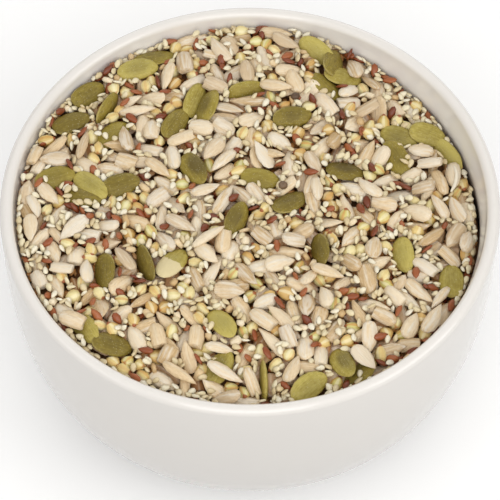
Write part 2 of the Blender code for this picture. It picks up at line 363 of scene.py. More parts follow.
def bowl_profile(lip_radius):
    """The bowl's section: from the middle inside, up over the lip and down to the foot's recess."""
    inner = [(wall_radius(depth), depth) for depth in np.arange(lip_radius, SWELL_END, SWELL_STEP)]
    plain = side_curve(INNER_RADIUS, INNER_DEPTH, 0.0, SIDE_STEPS, lip_radius)
    inner += [point for point in plain if point[1] > SWELL_END]
    outer = side_curve(RIM_RADIUS, OUTER_DEPTH, FOOT_RADIUS, SIDE_STEPS, lip_radius)
    profile = [(radius, HEIGHT - depth) for radius, depth in reversed(inner)]
    for index in range(1, LIP_STEPS):
        turn = math.pi - math.pi * index / LIP_STEPS
        profile.append((
            RIM_RADIUS - lip_radius + lip_radius * math.cos(turn),
            HEIGHT - lip_radius + lip_radius * math.sin(turn)))
    profile += [(radius, HEIGHT - depth) for radius, depth in outer]
    ring_inside = FOOT_RADIUS - FOOT_RING_WIDTH
    profile += [(FOOT_RADIUS - step, height) for step, height in FOOT_OUTER_EDGE]
    profile += [(ring_inside - step, height) for step, height in FOOT_INNER_EDGE]
    profile.append((0.0, FOOT_RECESS))
    return profile


def core_profile():
    """The core's section: a flat top in rings, then down along the wall to the middle of the floor."""
    inner = side_curve(INNER_RADIUS, INNER_DEPTH, 0.0, CORE_SIDE_STEPS, LIP_WALL / 2)
    side = [
        (radius - swell(depth) - CONTACT_GAP, HEIGHT - depth)
        for radius, depth in inner[1:-1] if depth > CORE_EDGE_DEPTH]
    top = side.pop(0)[1]
    edge = INNER_RADIUS - WALL_SWELL - 2 * CONTACT_GAP
    profile = [(edge * index / CORE_RINGS, top) for index in range(CORE_RINGS + 1)] + side
    profile.append((0.0, HEIGHT - INNER_DEPTH - LIP_WALL / 2 + CONTACT_GAP))
    return profile


# Materials

def feed(tree, value, slot):
    """Give an input a socket, a number, a vector or a colour."""
    if isinstance(value, bpy.types.NodeSocket):
        tree.links.new(value, slot)
    elif slot.type == 'RGBA':
        slot.default_value = (*value, 1.0)
    else:
        slot.default_value = value


def add_node(tree, kind, values=(), **settings):
    """A new shader node with its settings, and with what feeds its named or numbered inputs."""
    node = tree.nodes.new("ShaderNode" + kind)
    for key, value in settings.items():
        setattr(node, key, value)
    for key, value in dict(values).items():
        feed(tree, value, node.inputs[key])
    return node


def object_place(tree):
    return tree.nodes.new("ShaderNodeTexCoord").outputs["Object"]


def attribute(tree, name, output):
    return add_node(tree, "Attribute", attribute_name=name).outputs[output]


def noise(tree, place, scale, detail):
    node = add_node(tree, "TexNoise", {"Vector": place, "Scale": scale, "Detail": detail})
    return node.outputs["Fac"]


def cells(tree, scale):
    """Distance from the middles of small cells; gives the output."""
    node = add_node(tree, "TexVoronoi", {"Vector": object_place(tree), "Scale": scale})
    return node.outputs["Distance"]


def maths(tree, operation, first, second):
    """A Math node on sockets or numbers; gives its output."""
    return add_node(tree, "Math", {0: first, 1: second}, operation=operation).outputs[0]


def times(tree, first, second):
    return maths(tree, 'MULTIPLY', first, second)


def plus(tree, first, second):
    return maths(tree, 'ADD', first, second)


def minus(tree, first, second):
    return maths(tree, 'SUBTRACT', first, second)


def band(tree, value, low, high):
    """0 at low, 1 at high, smooth between, level beyond; gives the output."""
    values = {"Value": value, "From Min": low, "From Max": high}
    return add_node(tree, "MapRange", values, interpolation_type='SMOOTHSTEP').outputs["Result"]


def mix(tree, share, first, second, blend='MIX'):
    """A colour Mix node on sockets or colours; gives its output."""
    node = add_node(tree, "Mix", data_type='RGBA', blend_type=blend)
    slots = {slot.identifier: slot for slot in (*node.inputs, *node.outputs)}
    feed(tree, share, slots["Factor_Float"])
    feed(tree, first, slots["A_Color"])
    feed(tree, second, slots["B_Color"])
    return slots["Result_Color"]


def tint(tree, colour, mask, share, shade):
    """The colour turned towards a shade where the mask is, by a share of it; gives the output."""
    return mix(tree, times(tree, mask, share), colour, shade)


def own_noise(tree, stretch, apart, scale, detail):
    """Noise over a seed's own coordinates, different for every seed; gives its output."""
    values = {0: attribute(tree, "seed_tone_and_painted_shade", "Color"), "Scale": apart}
    shift = add_node(tree, "VectorMath", values, operation='SCALE')
    values = {0: attribute(tree, "seed_place", "Vector"), 1: stretch, 2: shift.outputs[0]}
    moved = add_node(tree, "VectorMath", values, operation='MULTIPLY_ADD')
    return noise(tree, moved.outputs[0], scale, detail)


def own_place(tree):
    """Sockets that run along a seed from -1 to 1, across, up and out to its edge, and its own numbers."""
    place = attribute(tree, "seed_place", "Vector")
    split = add_node(tree, "SeparateXYZ", {0: place})
    flat = add_node(tree, "VectorMath", {0: place, 1: (1.0, 1.0, 0.0)}, operation='MULTIPLY')
    out = add_node(tree, "VectorMath", {0: flat.outputs[0]}, operation='LENGTH')
    tone = add_node(tree, "SeparateColor", {0: attribute(tree, "seed_tone_and_painted_shade", "Color")})
    return Own(
        split.outputs["X"], split.outputs["Y"], split.outputs["Z"],
        out.outputs["Value"], tone.outputs[1], tone.outputs[2])


class Finish:
    """A Principled material with short calls for what feeds it."""

    def __init__(self, name, roughness):
        self.material = bpy.data.materials.new(name)
        self.material.use_nodes = True
        self.tree = self.material.node_tree
        self.shader = self.tree.nodes["Principled BSDF"]
        self.set("Roughness", roughness)

    def set(self, name, value):
        feed(self.tree, value, self.shader.inputs[name])

    def bump(self, height, distance, strength):
        values = {"Height": height, "Distance": distance, "Strength": strength}
        self.set("Normal", add_node(self.tree, "Bump", values).outputs["Normal"])

    def dress(self, piece):
        piece.data.materials.clear()
        piece.data.materials.append(self.material)


def porcelain(settings):
    """Warm white glaze with a faint waviness and hardly visible clouding."""
    finish = Finish("porcelain_glaze", settings.gloss)
    tree = finish.tree
    glaze = tuple(settings.glaze)
    deeper = tuple(value * 0.965 for value in glaze)
    finish.set("Base Color", mix(tree, noise(tree, object_place(tree), 22.0, 2.0), glaze, deeper))
    finish.bump(noise(tree, object_place(tree), 45.0, 1.0), 0.0002, 0.10)
    finish.set("Coat Weight", 0.4)
    finish.set("Coat Roughness", 0.06)
    return finish


def painted_shade_bed_finish():
    """Painted shade: the deep brown given to the seeds far down between the loose ones for the shade they
    lie in.
    """
    finish = Finish("deep_seeds", 0.8)
    grain = cells(finish.tree, 260.0)
    finish.set("Base Color", mix(finish.tree, grain, (0.26, 0.120, 0.042), (0.07, 0.026, 0.008)))
    finish.bump(grain, 0.0008, 0.6)
    return finish


def seed_skin_group():
    """A seed's tone between three colours, with streaks along it and fine mottling, and painted shade far
    down.
    """
    group = bpy.data.node_groups.new("seed_skin", "ShaderNodeTree")
    sockets = (
        ("Dark", 'INPUT', "NodeSocketColor"), ("Middle", 'INPUT', "NodeSocketColor"),
        ("Light", 'INPUT', "NodeSocketColor"), ("Streaks", 'INPUT', "NodeSocketFloat"),
        ("Mottle", 'INPUT', "NodeSocketFloat"), ("Colour", 'OUTPUT', "NodeSocketColor"),
        ("Height", 'OUTPUT', "NodeSocketFloat"))
    for name, side, kind in sockets:
        group.interface.new_socket(name=name, in_out=side, socket_type=kind)
    start = group.nodes.new("NodeGroupInput").outputs
    end = group.nodes.new("NodeGroupOutput").inputs
    streaks = minus(group, own_noise(group, (0.9, 5.5, 2.0), 40.0, 1.6, 3.0), 0.5)
    streak = times(group, streaks, start["Streaks"])
    mottle = minus(group, noise(group, object_place(group), 900.0, 4.0), 0.5)
    fleck = times(group, mottle, start["Mottle"])
    tone = add_node(group, "SeparateColor", {0: attribute(group, "seed_tone_and_painted_shade", "Color")})
    shade = plus(group, plus(group, tone.outputs[0], streak), fleck)
    lower = mix(group, band(group, shade, 0.0, 0.55), start["Dark"], start["Middle"])
    whole = mix(group, band(group, shade, 0.45, 1.0), lower, start["Light"])
    # Painted shade: seeds that lie deep in the heap are darkened towards a warm brown.
    deep = times(group, attribute(group, "seed_tone_and_painted_shade", "Alpha"), FULL_SHADE)
    feed(group, mix(group, deep, whole, (0.60, 0.285, 0.080), 'MULTIPLY'), end["Colour"])
    feed(group, plus(group, streak, fleck), end["Height"])
    return group


def sunflower_marks(tree, own, colour):
    """Some kernels greyer, a painted highlight along the crown, a darker tip and patches of whitish skin."""
    colour = tint(tree, colour, band(tree, own.mark, 0.55, 1.0), 0.40, (0.76, 0.650, 0.50))
    # Painted highlight: a pale line along the kernel's crown.
    off_crown = maths(tree, 'ABSOLUTE', plus(tree, own.across, 0.06), 0.0)
    colour = tint(tree, colour, band(tree, off_crown, 0.22, 0.02), 0.30, (0.86, 0.76, 0.59))
    tip = band(tree, own.along, 0.66, 1.05)
    colour = tint(tree, colour, tip, 0.5, (0.50, 0.30, 0.12))
    patch = own_noise(tree, (0.7, 2.6, 2.6), 60.0, 1.0, 2.0)
    patch = plus(tree, patch, times(tree, own.tone, 0.30))
    return tint(tree, colour, band(tree, patch, 0.60, 0.86), 0.60, (0.83, 0.77, 0.66))


def pumpkin_marks(tree, own, colour):
    """Dark middle, brighter rim, pale dust, and a torn pale skin on the seed that is marked for it."""
    side = minus(tree, times(tree, own.tone, 1.4), 0.7)
    lopsided = times(tree, own.across, side)
    inner = minus(tree, plus(tree, lopsided, 0.9), own.out)
    amount = plus(tree, times(tree, times(tree, own.tone, own.tone), 0.60), 0.15)
    colour = tint(tree, colour, band(tree, inner, -0.05, 0.75), amount, (0.080, 0.054, 0.014))
    rim = band(tree, own.out, 0.92, 1.0)
    colour = tint(tree, colour, rim, 0.45, (0.52, 0.42, 0.15))
    dust = band(tree, cells(tree, 1500.0), 0.24, 0.08)
    colour = tint(tree, colour, dust, 0.40, (0.66, 0.62, 0.42))
    torn = times(tree, own_noise(tree, (1.2, 1.2, 1.2), 60.0, 1.0, 2.0), 0.7)
    skin_end = band(tree, plus(tree, own.along, torn), 0.38, 0.32)
    marked = band(tree, own.mark, VEILED_MARK - 0.2, VEILED_MARK)
    return tint(tree, colour, times(tree, skin_end, marked), 0.9, (0.72, 0.61, 0.36))


def buckwheat_marks(tree, own, colour):
    """Some groats greenish; pale faces, orange-brown ridges, a red-brown tip and a brown base."""
    colour = tint(tree, colour, band(tree, own.tone, 0.74, 0.95), 0.55, (0.55, 0.57, 0.16))
    turn = times(tree, maths(tree, 'ARCTAN2', own.up, own.across), 3.0)
    face = maths(tree, 'COSINE', turn, 0.0)
    colour = tint(tree, colour, band(tree, face, 0.1, 0.9), 0.45, (0.92, 0.86, 0.60))
    ridge = band(tree, face, -0.55, -0.95)
    colour = tint(tree, colour, ridge, times(tree, own.tone, 0.75), (0.62, 0.30, 0.07))
    tip = band(tree, own.along, 0.66, 0.82)
    colour = tint(tree, colour, tip, 0.95, (0.31, 0.075, 0.018))
    base = band(tree, own.along, -0.86, -0.98)
    return tint(tree, colour, base, 0.8, (0.42, 0.14, 0.04))


def sesame_marks(tree, own, colour):
    """Darker tip."""
    return tint(tree, colour, band(tree, own.along, 0.70, 1.0), 0.35, (0.66, 0.48, 0.22))


# Each kind's finish: name, marks of its own if any, strength of streaks and of mottling, roughness, height
# of the relief, shine, and the dark, middle and light colours.
SEED_LOOKS = {
    "sunflower": (
        "sunflower_kernel", sunflower_marks, 0.85, 0.50, 0.50, 0.0007, 0.5,
        (0.57, 0.390, 0.190), (0.780, 0.598, 0.362), (0.860, 0.725, 0.520)),
    "pumpkin": (
        "pumpkin_seed", pumpkin_marks, 0.70, 0.60, 0.46, 0.0004, 0.3,
        (0.190, 0.138, 0.020), (0.330, 0.254, 0.042), (0.510, 0.425, 0.110)),
    "buckwheat": (
        "buckwheat_groat", buckwheat_marks, 0.25, 0.40, 0.46, 0.0004, 0.5,
        (0.66, 0.420, 0.140), (0.77, 0.600, 0.240), (0.83, 0.725, 0.370)),
    "sesame": (
        "sesame_seed", sesame_marks, 0.3, 0.25, 0.45, 0.0001, 0.5,
        (0.67, 0.540, 0.315), (0.785, 0.690, 0.455), (0.845, 0.785, 0.625)),
    "flax": (
        "flax_seed", None, 0.4, 0.25, 0.34, 0.0001, 0.5,
        (0.16, 0.034, 0.009), (0.28, 0.070, 0.019), (0.37, 0.115, 0.036)),
    "crumb": (
        "kernel_crumb", None, 0.6, 0.5, 0.55, 0.0004, 0.5,
        (0.62, 0.42, 0.20), (0.78, 0.59, 0.34), (0.88, 0.76, 0.55)),
    "dark": (
        "dark_round_seed", None, 0.8, 0.5, 0.45, 0.0003, 0.5,
        (0.050, 0.026, 0.012), (0.110, 0.062, 0.032), (0.200, 0.125, 0.070)),
    "husk": (
        "pale_husk", None, 0.9, 0.4, 0.50, 0.0002, 0.5,
        (0.72, 0.60, 0.42), (0.84, 0.76, 0.60), (0.91, 0.86, 0.76)),
}


def seed_finish(skin, name, marks, streaks, mottle, roughness, relief, shine, dark, middle, light):
    """One kind's material: the shared skin in its own colours, then its own marks."""
    finish = Finish(name, roughness)
    values = {"Dark": dark, "Middle": middle, "Light": light, "Streaks": streaks, "Mottle": mottle}
    node = add_node(finish.tree, "Group", values, node_tree=skin)
    colour = node.outputs["Colour"]
    if marks:
        colour = marks(finish.tree, own_place(finish.tree), colour)
    finish.set("Base Color", colour)
    finish.bump(node.outputs["Height"], relief, 0.6)
    finish.set("Specular IOR Level", shine)
    return finish


# Seed shapes

# Points around each shape, the places of its two pointed ends, and its rings (place, width, thickness) from
# the blunt end to the tip, all in halves of the seed's size.
LOFTS = {
    "whole": (8, (-1, 1), (
        (-0.93, 0.50, 0.52), (-0.70, 0.88, 0.86), (-0.22, 1.0, 1.0), (0.26, 0.84, 0.88), (0.62, 0.48, 0.56),
        (0.84, 0.22, 0.28))),
    "plump": (8, (-1, 1), (
        (-0.90, 0.60, 0.60), (-0.58, 0.94, 0.92), (-0.08, 1.04, 1.0), (0.42, 0.86, 0.88),
        (0.80, 0.44, 0.52))),
    "slim": (8, (-1, 1), (
        (-0.92, 0.42, 0.50), (-0.62, 0.76, 0.84), (-0.10, 0.86, 1.0), (0.34, 0.66, 0.82), (0.70, 0.32, 0.44),
        (0.88, 0.14, 0.22))),
    "cut": (8, (-1, 0.70), (
        (-0.88, 0.60, 0.60), (-0.52, 0.95, 0.92), (0.10, 1.0, 1.0), (0.70, 0.88, 0.86), (0.76, 0.78, 0.74))),
    "stub": (8, (-0.74, 0.70), (
        (-0.80, 0.66, 0.66), (-0.72, 0.84, 0.82), (0.0, 1.0, 1.0), (0.68, 0.90, 0.88), (0.76, 0.74, 0.72))),
    "pumpkin": (14, (-1, 1), (
        (-0.94, 0.40, 0.34), (-0.76, 0.73, 0.66), (-0.44, 0.94, 0.90), (-0.02, 1.0, 1.0), (0.38, 0.91, 0.95),
        (0.70, 0.68, 0.74), (0.91, 0.36, 0.40))),
    "buckwheat": (6, (-1, 1), (
        (-0.84, 0.60, 0.60), (-0.36, 1.0, 1.0), (0.20, 0.92, 0.92), (0.66, 0.52, 0.52), (0.92, 0.16, 0.16))),
    "sesame": (6, (-1, 1), ((-0.80, 0.70, 0.74), (-0.22, 1.0, 1.0), (0.48, 0.66, 0.76))),
    "flax": (6, (-1, 1), ((-0.76, 0.66, 0.64), (-0.14, 1.0, 1.0), (0.55, 0.62, 0.70))),
    "crumb": (5, (-0.86, 1), ((-0.90, 0.74, 0.70), (-0.20, 1.0, 0.92), (0.55, 0.80, 1.0))),
    "dark": (10, (-1, 1), (
        (-0.80, 0.60, 0.60), (-0.30, 0.95, 0.95), (0.30, 0.95, 0.95), (0.80, 0.60, 0.60))),
    "husk": (6, (-1, 1), (
        (-0.94, 0.50, 0.8), (-0.60, 0.92, 1.0), (-0.20, 1.0, 1.0), (0.20, 0.95, 1.0), (0.60, 0.72, 0.9),
        (0.92, 0.36, 0.7))),
}

# The kernels: shape, length and width against the usual ones, and how often each comes. The last is split.
KERNELS = (
    ("whole", 1, 1, 0.33), ("plump", 0.86, 1, 0.18), ("slim", 1.04, 1, 0.14), ("cut", 0.90, 1, 0.15),
    ("stub", 0.80, 1, 0.10), ("whole", 0.96, 1.04, 0.10))

# Shares of the thickness that are left: at the pinched sides, on top of the split one, at a groat's faces.
KERNEL_PINCH = 0.74
PUMPKIN_PINCH = 0.78
SPLIT_TOP = 0.30
GROAT_FACE = 0.72

# Sides start at this share of half the width, and a groat's faces where points look this straight along.
SIDE_START = 0.3
FACE_START = 0.9

# Broken ends: where the ragged ring lies, in halves of the length, and how far its points are moved.
KERNEL_BREAK = 0.76
KERNEL_RAGGED = 0.00030
CRUMB_BREAK = -0.90
CRUMB_RAGGED = 0.00025


def loft(name, size):
    """Model one seed along X: a ring at its blunt end, extruded and resized ring by ring to the tip."""
    sides, (blunt_end, tip), rings = LOFTS[name]
    half = [length / 2 for length in size]
    deselect_all()
    bpy.ops.mesh.primitive_circle_add(
        vertices=sides, radius=1.0, location=(0, 0, 0), rotation=(0, math.pi / 2, 0))
    piece = bpy.context.object
    bpy.ops.object.transform_apply(location=True, rotation=True, scale=True)
    bpy.ops.object.mode_set(mode='EDIT')
    bpy.ops.mesh.select_all(action='SELECT')
    place, width, thickness = rings[0]
    bpy.ops.transform.resize(value=(1, half[1] * width, half[2] * thickness), center_override=(0, 0, 0))
    bpy.ops.transform.translate(value=(half[0] * place, 0, 0))
    for (before, old_width, old_thickness), (after, new_width, new_thickness) in zip(rings, rings[1:]):
        extrude_by(half[0] * (after - before), 0, 0)
        bpy.ops.transform.resize(
            value=(1, new_width / old_width, new_thickness / old_thickness),
            center_override=(half[0] * after, 0, 0))
    extrude_by(half[0] * (tip - rings[-1][0]), 0, 0)
    bpy.ops.mesh.merge(type='CENTER')
    select_where(piece, lambda point: abs(point.x - half[0] * place) < half[0] * RING_TOLERANCE)
    extrude_by(half[0] * (blunt_end - place), 0, 0)
    bpy.ops.mesh.merge(type='CENTER')
    bpy.ops.mesh.select_all(action='SELECT')
    bpy.ops.mesh.normals_make_consistent(inside=False)
    bpy.ops.object.mode_set(mode='OBJECT')
    return piece


def pinch_sides(piece, share):
    """Flatten what lies between a seed's edge and its crown, for a sharper edge."""
    crown = SIDE_START * max(abs(vertex.co.y) for vertex in piece.data.vertices)
    squeeze(piece, lambda point: abs(point.y) > crown, (1, 1, share))


def flatten_top(piece, share):
    """Lower the upper half of a seed, as on one that has split along its middle."""
    squeeze(piece, lambda point: point.z > SAME_PLACE, (1, 1, share))


def roughen_ring(piece, place, amount):
    """Make a broken end ragged: move the points of its ring to and fro along the seed."""
    shifts = (1, -0.6, 0.3, -1, 0.5)
    take_up(piece)
    points = [vertex.co.copy() for vertex in piece.data.vertices]
    ring = [point for point in points if abs(point.x - place) < abs(place) * RING_TOLERANCE]
    bpy.ops.object.mode_set(mode='EDIT')
    for index, middle in enumerate(ring):
        select_where(piece, lambda point: (point - middle).length < SAME_PLACE)
        bpy.ops.transform.translate(value=(amount * shifts[index % len(shifts)], 0, 0))
    bpy.ops.object.mode_set(mode='OBJECT')


def sunflower_shapes():
    """Whole, plump and slim kernels, one without its tip, one broken at both ends and a split half."""
    length, width, thickness = SUNFLOWER_SIZE
    pieces = []
    for name, longer, wider, _ in KERNELS:
        piece = loft(name, (length * longer, width * wider, thickness))
        pinch_sides(piece, KERNEL_PINCH)
        if name in ("cut", "stub"):
            roughen_ring(piece, length * longer / 2 * KERNEL_BREAK, KERNEL_RAGGED)
        pieces.append(piece)
    flatten_top(pieces[-1], SPLIT_TOP)
    return pieces


def pumpkin_shape():
    """Flat oval, a little narrower at one end, with a thin edge."""
    piece = loft("pumpkin", PUMPKIN_SIZE)
    pinch_sides(piece, PUMPKIN_PINCH)
    return piece


def buckwheat_shape():
    """Three-sided pyramid with soft ridges and a blunt base."""
    piece = loft("buckwheat", BUCKWHEAT_SIZE)
    for face in range(3):
        turn = 2 * math.pi * face / 3
        squeeze(piece, lambda point: faces_along(point, turn), (1, GROAT_FACE, GROAT_FACE))
    return piece


def faces_along(point, turn):
    """True for the points in the middle of the face that looks along the turn, about the X axis."""
    reach = math.hypot(point.y, point.z)
    facing = point.y * math.cos(turn) + point.z * math.sin(turn)
    return reach > 5 * SAME_PLACE and facing > reach * FACE_START


def crumb_shape():
    """Angular bit of a broken kernel."""
    piece = loft("crumb", CRUMB_SIZE)
    roughen_ring(piece, CRUMB_SIZE[0] / 2 * CRUMB_BREAK, CRUMB_RAGGED)
    return piece


# Heap

def heap_height(x, y, settings):
    """Mean height of the seeds' surface over (x, y); works on numbers and on arrays."""
    share = np.hypot(x, y) / INNER_RADIUS
    depth = settings.depth + settings.tilt * x / INNER_RADIUS - settings.dome * (1 - share * share)
    away = np.hypot(x - FAR_MOUND[0], y - FAR_MOUND[1]) / FAR_MOUND_RADIUS
    return HEIGHT - depth + FAR_MOUND_HEIGHT * np.exp(-away * away)


def core_height(x, y, settings):
    """Height of the core under the loose seeds, which are fewer beside the wall."""
    share = np.hypot(x, y) / INNER_RADIUS
    return heap_height(x, y, settings) - settings.bed * (1 - BED_THINNING * share ** BED_THINNING_POWER)


def grid_cell(x, y):
    """Row and column of the heap's cell at (x, y)."""
    return int((x + GRID_REACH) / CELL), int((y + GRID_REACH) / CELL)


class Heap:
    """The seeds' surface as a square grid of heights, which grows as seeds are laid on it."""

    def __init__(self, settings):
        self.settings = settings
        self.count = int(2 * GRID_REACH / CELL)
        line = (np.arange(self.count) + 0.5) * CELL - GRID_REACH
        x, y = np.meshgrid(line, line, indexing="ij")
        self.target = heap_height(x, y, settings)
        self.ground = core_height(x, y, settings)
        self.wall = np.hypot(x, y) > wall_radius(HEIGHT - self.target) - CONTACT_GAP
        self.kept = np.zeros_like(self.wall)
        self.stamps = {}

    def level(self, spot):
        """How far the surface stands above its target at a spot."""
        cell = grid_cell(spot[0], spot[1])
        return self.ground[cell] - self.target[cell]

    def stamp(self, half_length, half_width, heading):
        """Grid cells that a seed's outline covers, as offsets with their place within the outline."""
        steps = round(math.degrees(heading) / STAMP_TURN)
        key = (round(half_length * STAMP_SCALE), round(half_width * STAMP_SCALE), steps)
        if key not in self.stamps:
            turn = math.radians(steps * STAMP_TURN)
            reach = int(half_length / CELL) + 1
            rows, columns = np.mgrid[-reach:reach + 1, -reach:reach + 1]
            along = (rows * math.cos(turn) + columns * math.sin(turn)) * CELL / half_length
            across = (columns * math.cos(turn) - rows * math.sin(turn)) * CELL / half_width
            inside = along ** 2 + across ** 2 < STAMP_EDGE
            along, across = along[inside], across[inside]
            crown = np.sqrt(1 - along ** 2 - across ** 2)
            self.stamps[key] = (rows[inside], columns[inside], along, across, crown)
        return self.stamps[key]

    def settle(self, x, y, stamp, half_height, sink, pitch):
        """Where a seed comes to rest, with its rise along and across it; None where it meets the wall."""
        row, column = grid_cell(x, y)
        rows = stamp[0] + row
        columns = stamp[1] + column
        if rows.min() < 0 or columns.min() < 0 or rows.max() >= self.count or columns.max() >= self.count:
            return None
        if self.wall[rows, columns].any():
            return None
        ground = self.ground[rows, columns]
        along, across, crown = stamp[2:]
        level = ground - ground.mean()
        rise = (level * along).sum() / (along * along).sum()
        roll = (level * across).sum() / (across * across).sum()
        rise = max(-STEEPEST, min(STEEPEST, rise + pitch))
        roll = max(-STEEPEST / 3, min(STEEPEST / 3, roll))
        lift = ground - (rise * along + roll * across - half_height * crown)
        order = int(len(lift) * (1 - sink))
        height = np.partition(lift, order)[order]
        return Rest(height, rise, roll, self.kept[rows, columns].mean(), rows, columns)

    def lay(self, pose):
        """Raise the ground to the top of a seed that has settled."""
        height, rise, roll, _, rows, columns = pose.rest
        along, across, crown = pose.stamp[2:]
        top = height + rise * along + roll * across + pose.half_height * crown
        self.ground[rows, columns] = np.maximum(self.ground[rows, columns], top)


class Kind:
    """One kind of seed: its template shapes, and the copies laid so far.

    Spread is how much its sides may differ, bend how far it curls, and pitch how far it tips lengthwise."""

    def __init__(self, name, shapes, size, spread, bend, shares=(1.0,), pitch=0.05):
        self.name = name
        self.size = size
        self.spread = spread
        self.bend = bend
        self.shares = shares
        self.pitch = pitch
        self.shapes = []
        for piece in shapes:
            points = np.array([vertex.co[:] for vertex in piece.data.vertices])
            faces = [tuple(face.vertices) for face in piece.data.polygons]
            self.shapes.append((points, faces))
            bpy.data.objects.remove(piece)
        self.points = []
        self.faces = []
        self.places = []
        self.tones_and_painted_shades = []
        self.total = 0

    def copy(self, draw, pose, over, mark=0.0):
        """Add one seed: a template resized, slightly bent, turned and put in its place."""
        points, faces = draw.choices(self.shapes, self.shares)[0]
        half = np.array(self.size) / 2
        local = points / half
        shaped = points * pose.grown
        arch = local[:, 0] ** 2 - ARCH_MIDDLE
        bend = draw.uniform(-1, 1) * self.bend
        sweep = draw.uniform(-1, 1) * self.bend
        shaped[:, 2] += bend * half[0] * arch
        shaped[:, 1] += sweep * half[0] * arch
        hook = draw.uniform(-1, 1) * self.bend * HOOK
        shaped[:, 1] += hook * half[0] * np.maximum(local[:, 0], 0) ** 3
        self.points.append(shaped @ np.array(pose.turn).T + np.array(pose.middle))
        self.faces += [tuple(index + self.total for index in face) for face in faces]
        self.places.append(local)
        # Painted shade for a seed whose top lies under the mean surface, kept as the fourth number of its
        # tone.
        shade = min(1.0, max(0.0, (SHADE_START - over) / SHADE_REACH))
        tone = (draw.random(), draw.random(), draw.random() + mark, shade)
        self.tones_and_painted_shades.append(np.tile(tone, (len(points), 1)))
        self.total += len(points)

    def build(self, finish):
        """Join the copies into one mesh that carries each seed's tone, painted shade and own coordinates."""
        mesh = bpy.data.meshes.new(self.name)
        mesh.from_pydata(np.concatenate(self.points).tolist(), [], self.faces)
        place = mesh.attributes.new("seed_place", 'FLOAT_VECTOR', 'POINT')
        place.data.foreach_set("vector", np.concatenate(self.places).astype(np.float32).ravel())
        tone = mesh.attributes.new("seed_tone_and_painted_shade", 'FLOAT_COLOR', 'POINT')
        tone.data.foreach_set("color", np.concatenate(self.tones_and_painted_shades).astype(np.float32).ravel())
        mesh.update()
        piece = bpy.data.objects.new(self.name, mesh)
        bpy.context.scene.collection.objects.link(piece)
        take_up(piece)
        bpy.ops.object.shade_smooth()
        finish.dress(piece)
        return piece


def drop(heap, kind, draw, spot, heading, lean, sink, proud, press):
    """Try one seed at a spot; gives its pose, or None where it finds no room.

    One that would stand too high is pressed into those below it, or refused if that takes too much."""
    grown = [1 + draw.uniform(-kind.spread, kind.spread) for _ in range(3)]
    half = [length * scale / 2 for length, scale in zip(kind.size, grown)]
    half_width = math.hypot(half[1] * math.cos(lean), half[2] * math.sin(lean))
    half_height = math.hypot(half[2] * math.cos(lean), half[1] * math.sin(lean))
    stamp = heap.stamp(half[0], half_width, heading)
    pitch = draw.gauss(0, kind.pitch) * half[0]
    rest = heap.settle(spot[0], spot[1], stamp, half_height, sink, pitch)
    if rest is None:
        return None
    top = rest.height + half_height
    highest = heap_height(spot[0], spot[1], heap.settings) + proud
    ceiling = HEIGHT - LIP_CLEARANCE - abs(rest.rise)
    over = top - highest + proud
    excess = top - min(highest, ceiling)
    if excess > press:
        return None
    if excess > 0:
        rest = rest._replace(height=rest.height - excess)
    turn = Matrix.Rotation(heading, 3, 'Z')
    turn = turn @ Matrix.Rotation(-math.atan2(rest.rise, half[0]), 3, 'Y')
    turn = turn @ Matrix.Rotation(math.atan2(rest.roll, half_width) + lean, 3, 'X')
    return Pose(over, rest, stamp, half_height, (spot[0], spot[1], rest.height), turn, grown)


def low_spot(heap, kind, draw, looks):
    """The lowest of several random places, and a heading that follows the wall when near it."""
    reach = INNER_RADIUS - kind.size[1] / 2 - 2 * CONTACT_GAP
    spots = []
    for _ in range(looks):
        radius = reach * math.sqrt(draw.random())
        angle = draw.uniform(0, 2 * math.pi)
        spots.append((radius * math.cos(angle), radius * math.sin(angle), radius, angle))
    x, y, radius, angle = min(spots, key=heap.level)
    heading = draw.uniform(-math.pi, math.pi)
    if radius > INNER_RADIUS - kind.size[0] / 2 - 2 * CONTACT_GAP:
        heading = angle + math.pi / 2 * draw.choice((-1, 1)) + draw.gauss(0, NEAR_WALL_TURN)
    return (x, y), heading


def wall_spot(heap, kind, draw, looks):
    """The lowest of several random places beside the wall, and a heading along it."""
    spots = []
    for _ in range(looks):
        angle = draw.uniform(0, 2 * math.pi)
        across = Vector((math.cos(angle), math.sin(angle)))
        depth = HEIGHT - heap_height(*(across * INNER_RADIUS), heap.settings)
        radius = wall_radius(depth) - kind.size[1] / 2 * draw.uniform(*WALL_DISTANCE) - CONTACT_GAP
        spots.append((*(across * radius), angle))
    x, y, angle = min(spots, key=heap.level)
    return (x, y), angle + math.pi / 2 * draw.choice((-1, 1)) + draw.gauss(0, AT_WALL_TURN)


def pour(heap, kind, draw, count, looks, tries, proud, press, edge_on, cover, find=low_spot):
    """Lay up to count seeds, each the lowest of several tries in low spots."""
    for _ in range(count):
        best = None
        for _ in range(tries):
            lean = draw.gauss(0, FLAT_LEAN)
            if draw.random() < edge_on:
                lean = draw.choice((-1, 1)) * draw.uniform(*EDGE_LEAN)
            spot, heading = find(heap, kind, draw, looks)
            pose = drop(heap, kind, draw, spot, heading, lean, SINK, proud, press)
            if pose is None:
                inward = 1 - kind.size[1] / 4 / math.hypot(*spot)
                spot = (spot[0] * inward, spot[1] * inward)
                pose = drop(heap, kind, draw, spot, heading, lean, SINK, proud, press)
            if pose is None or pose.rest.covered > cover:
                continue
            if best is None or pose.over < best.over:
                best = pose
        if best:
            heap.lay(best)
            kind.copy(draw, best, best.over)


def pour_all(heap, kinds, draw, rows):
    for name, *row in rows:
        pour(heap, kinds[name], draw, *row)


